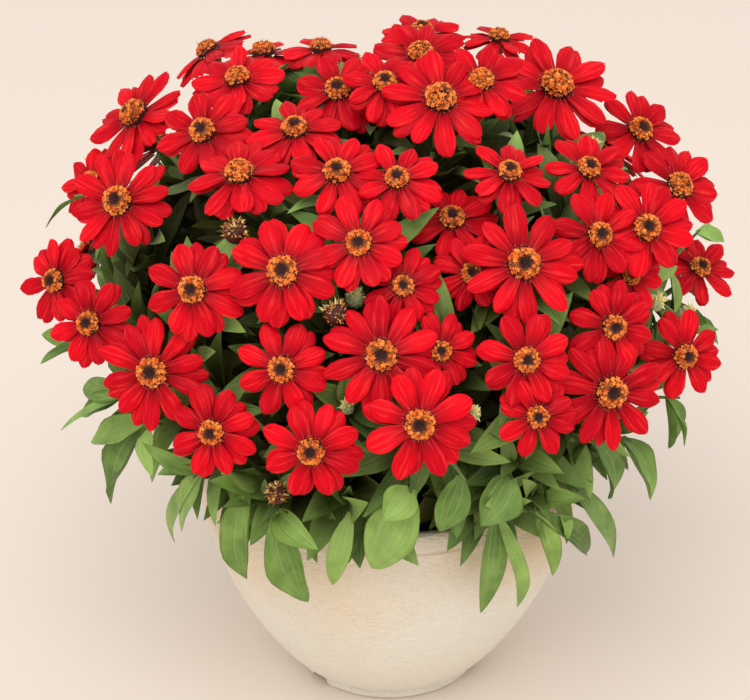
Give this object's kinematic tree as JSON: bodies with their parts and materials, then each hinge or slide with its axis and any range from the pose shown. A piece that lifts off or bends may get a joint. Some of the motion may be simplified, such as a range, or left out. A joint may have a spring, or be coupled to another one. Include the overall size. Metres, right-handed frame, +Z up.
{
  "type": "potted zinnia",
  "caption": "Round mound of single scarlet daisy-like blooms over green leaves, bushy bedding plants grown together in a cream bowl-shaped pot on a notched foot ring.",
  "frame": {"origin": "on the ground, in the middle of the pot's foot ring", "axes": "+Z up along the pot's axis, -Y towards the front of the picture, +X to its right"},
  "size_m": [0.433, 0.417, 0.429],
  "materials": {
    "petals": "matt scarlet petals with a soft velvety sheen",
    "foliage": "matt green leaves and stems with fine short hairs",
    "spent_florets": "dry brown and ochre florets, rough",
    "pot_ceramic": "matt cream earthenware with fine level brushing and speckles",
    "soil": "dark crumbly potting soil, rough"
  },
  "bodies": {
    "root": {"pot": "pot_ceramic", "potting_soil": "soil", "bloom_01": "petals", "bloom_02": "petals", "bloom_pair_03": "petals", "bloom_04": "petals", "bloom_pair_05": "petals", "bloom_06": "petals", "bloom_07": "petals", "bloom_08": "petals", "bloom_09": "petals", "bloom_pair_10": "petals", "bloom_11": "petals", "bloom_12": "petals", "bloom_13": "petals", "bloom_14": "petals", "bloom_15": "petals", "bloom_16": "petals", "bloom_17": "petals", "bloom_pair_18": "petals", "bloom_19": "petals", "bloom_20": "petals", "bloom_21": "petals", "bloom_pair_22": "petals", "bloom_23": "petals", "bloom_24": "petals", "bloom_25": "petals", "bloom_pair_26": "petals", "bloom_27": "petals", "bloom_28": "petals", "bloom_29": "petals", "bloom_30": "petals", "bloom_31": "petals", "bloom_pair_32": "petals", "bloom_33": "petals", "bloom_34": "petals", "bloom_35": "petals", "bloom_36": "petals", "bloom_37": "petals", "bloom_38": "petals", "bloom_39": "petals", "bloom_40": "petals", "bloom_41": "petals", "bloom_42": "petals", "bloom_pair_43": "petals", "bloom_pair_44": "petals", "bloom_pair_45": "petals", "bloom_pair_46": "petals", "bloom_pair_47": "petals", "bloom_pair_48": "petals", "bloom_pair_49": "petals", "bloom_pair_50": "petals", "bloom_pair_51": "petals", "spent_head_1": "spent_florets", "spent_head_2": "spent_florets", "spent_head_3": "spent_florets", "plant_left": "foliage", "plant_right": "foliage", "plant_back": "foliage"}
  },
  "joints": []
}
